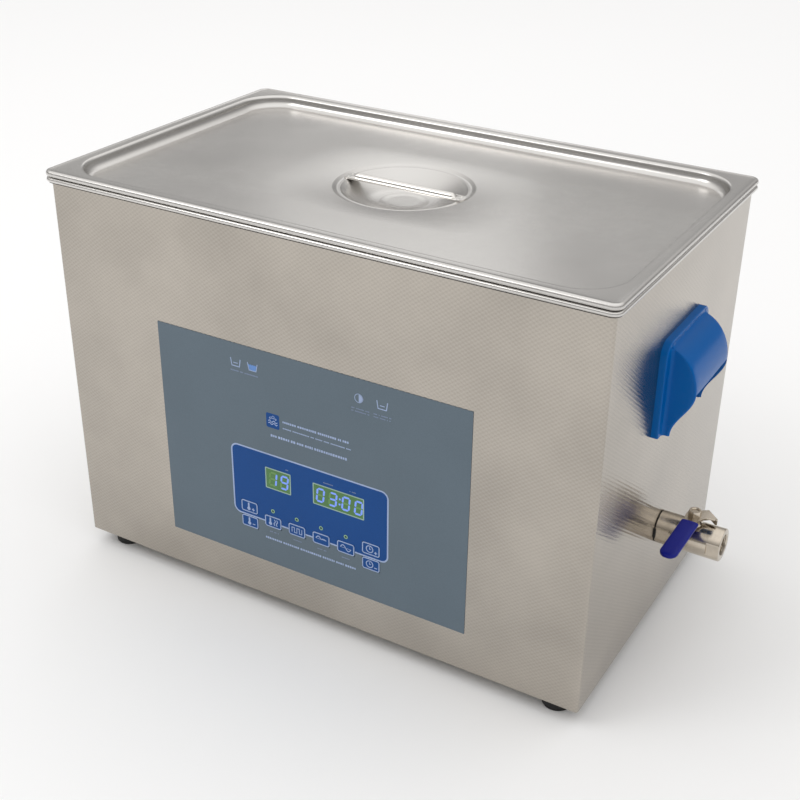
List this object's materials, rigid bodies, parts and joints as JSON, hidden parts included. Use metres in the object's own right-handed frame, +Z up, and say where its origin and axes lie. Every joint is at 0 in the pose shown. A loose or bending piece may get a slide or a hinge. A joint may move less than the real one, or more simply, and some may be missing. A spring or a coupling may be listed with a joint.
{
  "type": "ultrasonic cleaner",
  "caption": "Bench-top ultrasonic cleaner: stainless tank in a folded casing with lift-off lid, side ball-valve drain, cup handles and front control panel.",
  "frame": {"origin": "centre of the whole object's footprint, on the plane that the feet stand on", "axes": "+X towards the drain side, +Y towards the rear, +Z up"},
  "size_m": [0.6086, 0.322, 0.3834],
  "materials": {
    "casing_steel": "satin stainless sheet with a fine embossed texture",
    "tank_steel": "satin stainless, slightly brighter on the rolled edges",
    "bright_steel": "machined stainless",
    "rubber": "matt black",
    "handle_plastic": "moulded blue, semi-gloss",
    "sleeve_vinyl": "dipped vinyl, semi-gloss",
    "seal_white": "white fluoropolymer",
    "label_film": "printed film, fine matt texture",
    "display_window": "green filter",
    "display_black": "matt",
    "indicator_lens": "small lens",
    "circuit_board": "solder resist",
    "black_plastic": "moulded black",
    "key_film": "printed blue film",
    "aluminium": "machined or extruded",
    "transformer_core": "core and wound coil",
    "capacitor_sleeve": "shrink sleeve",
    "piezo_ceramic": "silvered ceramic",
    "black_steel": "blackened steel",
    "heater_rubber": "silicone rubber",
    "cable_grey": "flat cable",
    "lead_red": "insulated wire",
    "lead_brown": "insulated wire"
  },
  "bodies": {
    "chassis": {"casing_wrap": "casing_steel", "rear_panel": "casing_steel", "bottom_plate": "casing_steel", "feet": "rubber", "foot_screws": "bright_steel", "case_screws": "bright_steel", "tank": "tank_steel", "rim_gasket": "rubber", "handle_right": "handle_plastic", "handle_left": "handle_plastic", "handle_screws": "bright_steel", "drain_pipe": "bright_steel", "drain_seal": "rubber", "valve_body": "bright_steel", "valve_seals": "seal_white", "valve_retainer": "bright_steel", "graphic_overlay": "label_film", "display_windows": "display_window", "display_modules": "display_black", "indicator_leds": "indicator_lens", "control_board": "circuit_board", "tact_switches": "black_plastic", "board_standoffs": "bright_steel", "generator_board": "circuit_board", "heatsink": "aluminium", "transformer": "transformer_core", "capacitors": "capacitor_sleeve", "transducer_horns": "aluminium", "piezo_rings": "piezo_ceramic", "transducer_backs": "bright_steel", "transducer_bolts": "black_steel", "heater_pads": "heater_rubber", "thermostat": "black_plastic", "ribbon_cable": "cable_grey", "transducer_leads": "lead_red", "mains_wiring": "lead_brown", "inlet_socket": "black_plastic", "inlet_pins": "bright_steel", "switch_frame": "black_plastic", "fan_frame": "black_plastic", "fan_guard": "bright_steel"},
    "lid_body": {"lid": "tank_steel", "lid_handle": "bright_steel"},
    "valve_lever": {"valve_ball": "bright_steel", "valve_stem": "bright_steel", "lever_plate": "bright_steel", "lever_sleeve": "sleeve_vinyl", "lever_nut": "bright_steel"},
    "rocker": {"switch_rocker": "black_plastic"},
    "fuse_tray": {"fuse_drawer": "black_plastic"},
    "rotor": {"fan_rotor": "black_plastic"},
    "key_temp_up_body": {"key_temp_up": "key_film"},
    "key_temp_down_body": {"key_temp_down": "key_film"},
    "key_heating_body": {"key_heating": "key_film"},
    "key_degas_body": {"key_degas": "key_film"},
    "key_half_wave_body": {"key_half_wave": "key_film"},
    "key_full_wave_body": {"key_full_wave": "key_film"},
    "key_time_up_body": {"key_time_up": "key_film"},
    "key_time_down_body": {"key_time_down": "key_film"}
  },
  "joints": [
    {"name": "lid_lift", "type": "slide", "parent": "chassis", "child": "lid_body", "axis": [0, 0, 1], "range_m": [0, 0.25]},
    {"name": "valve_turn", "type": "hinge", "parent": "chassis", "child": "valve_lever", "pos_m": [0.276, 0.0065, 0.127], "axis": [0, 0, 1], "range_deg": [0, 90]},
    {"name": "rocker_tilt", "type": "hinge", "parent": "chassis", "child": "rocker", "pos_m": [0.12575, 0.151, 0.078], "axis": [1, 0, 0], "range_deg": [-24, 0]},
    {"name": "fuse_slide", "type": "slide", "parent": "chassis", "child": "fuse_tray", "axis": [0, 1, 0], "range_m": [0, 0.016]},
    {"name": "fan_spin", "type": "hinge", "parent": "chassis", "child": "rotor", "pos_m": [-0.13425, 0.141, 0.078], "axis": [0, 1, 0], "continuous": true},
    {"name": "key_temp_up_press", "type": "slide", "parent": "chassis", "child": "key_temp_up_body", "axis": [0, 1, 0], "range_m": [0, 0.0006], "stiffness_N_per_m": 400},
    {"name": "key_temp_down_press", "type": "slide", "parent": "chassis", "child": "key_temp_down_body", "axis": [0, 1, 0], "range_m": [0, 0.0006], "stiffness_N_per_m": 400},
    {"name": "key_heating_press", "type": "slide", "parent": "chassis", "child": "key_heating_body", "axis": [0, 1, 0], "range_m": [0, 0.0006], "stiffness_N_per_m": 400},
    {"name": "key_degas_press", "type": "slide", "parent": "chassis", "child": "key_degas_body", "axis": [0, 1, 0], "range_m": [0, 0.0006], "stiffness_N_per_m": 400},
    {"name": "key_half_wave_press", "type": "slide", "parent": "chassis", "child": "key_half_wave_body", "axis": [0, 1, 0], "range_m": [0, 0.0006], "stiffness_N_per_m": 400},
    {"name": "key_full_wave_press", "type": "slide", "parent": "chassis", "child": "key_full_wave_body", "axis": [0, 1, 0], "range_m": [0, 0.0006], "stiffness_N_per_m": 400},
    {"name": "key_time_up_press", "type": "slide", "parent": "chassis", "child": "key_time_up_body", "axis": [0, 1, 0], "range_m": [0, 0.0006], "stiffness_N_per_m": 400},
    {"name": "key_time_down_press", "type": "slide", "parent": "chassis", "child": "key_time_down_body", "axis": [0, 1, 0], "range_m": [0, 0.0006], "stiffness_N_per_m": 400}
  ]
}
